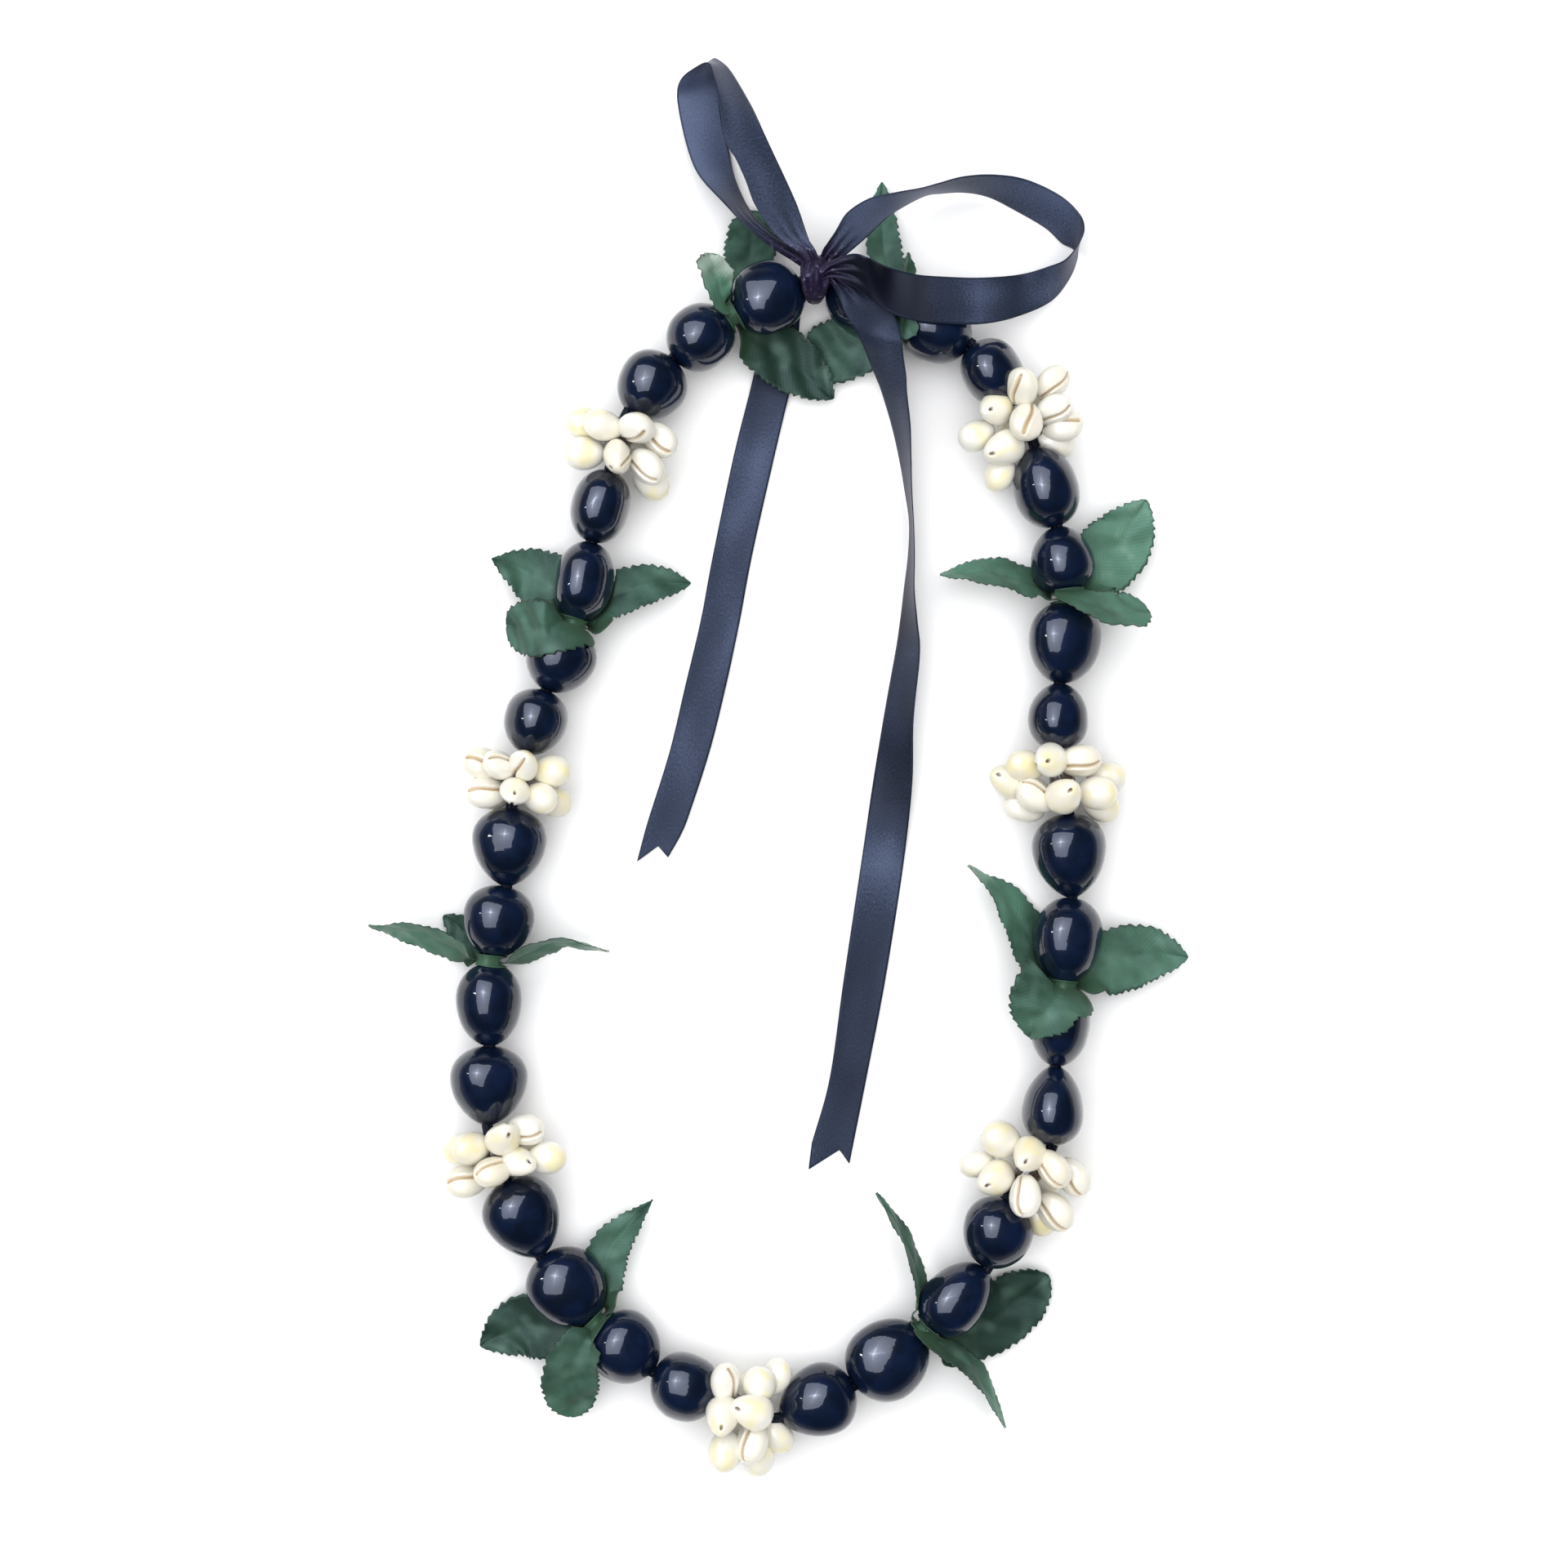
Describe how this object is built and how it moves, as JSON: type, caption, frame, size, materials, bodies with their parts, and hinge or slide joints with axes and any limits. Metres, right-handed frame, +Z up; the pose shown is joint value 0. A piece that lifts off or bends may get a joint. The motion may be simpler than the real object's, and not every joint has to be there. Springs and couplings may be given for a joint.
{
  "type": "kukui nut lei",
  "caption": "Garland of polished dark nuts on a string, with bunches of small white cowries and sprigs of cloth leaves between them, tied with a satin ribbon bow whose ends lie in the hole.",
  "frame": {"origin": "centre of the bounding box, at the level of the surface that the lei lies on", "axes": "+Z up from the surface, +Y towards the bow, +X to the right as seen from above"},
  "size_m": [0.2878, 0.4949, 0.0341],
  "materials": {
    "kukui_nut": "polished to a deep gloss",
    "cowrie_shell": "smooth, soft gloss",
    "leaf_cloth": "stiffened polyester cloth, satin",
    "satin_ribbon": "satin"
  },
  "bodies": {
    "root": {"nut_01": "kukui_nut", "nut_02": "kukui_nut", "nut_03": "kukui_nut", "nut_04": "kukui_nut", "nut_05": "kukui_nut", "nut_06": "kukui_nut", "nut_07": "kukui_nut", "nut_08": "kukui_nut", "nut_09": "kukui_nut", "nut_10": "kukui_nut", "nut_11": "kukui_nut", "nut_12": "kukui_nut", "nut_13": "kukui_nut", "nut_14": "kukui_nut", "nut_15": "kukui_nut", "nut_16": "kukui_nut", "nut_17": "kukui_nut", "nut_18": "kukui_nut", "nut_19": "kukui_nut", "nut_20": "kukui_nut", "nut_21": "kukui_nut", "nut_22": "kukui_nut", "nut_23": "kukui_nut", "nut_24": "kukui_nut", "nut_25": "kukui_nut", "nut_26": "kukui_nut", "nut_27": "kukui_nut", "nut_28": "kukui_nut", "nut_29": "kukui_nut", "nut_30": "kukui_nut", "cowries_1": "cowrie_shell", "cowries_2": "cowrie_shell", "cowries_3": "cowrie_shell", "cowries_4": "cowrie_shell", "cowries_5": "cowrie_shell", "cowries_6": "cowrie_shell", "cowries_7": "cowrie_shell", "leaves_1": "leaf_cloth", "leaves_2": "leaf_cloth", "leaves_3": "leaf_cloth", "leaves_4": "leaf_cloth", "leaves_5": "leaf_cloth", "leaves_6": "leaf_cloth", "leaves_7": "leaf_cloth", "leaves_8": "leaf_cloth", "strand": "satin_ribbon", "bow_knot": "satin_ribbon", "loop_left": "satin_ribbon", "loop_right": "satin_ribbon", "tail_left": "satin_ribbon", "tail_right": "satin_ribbon"}
  },
  "joints": []
}
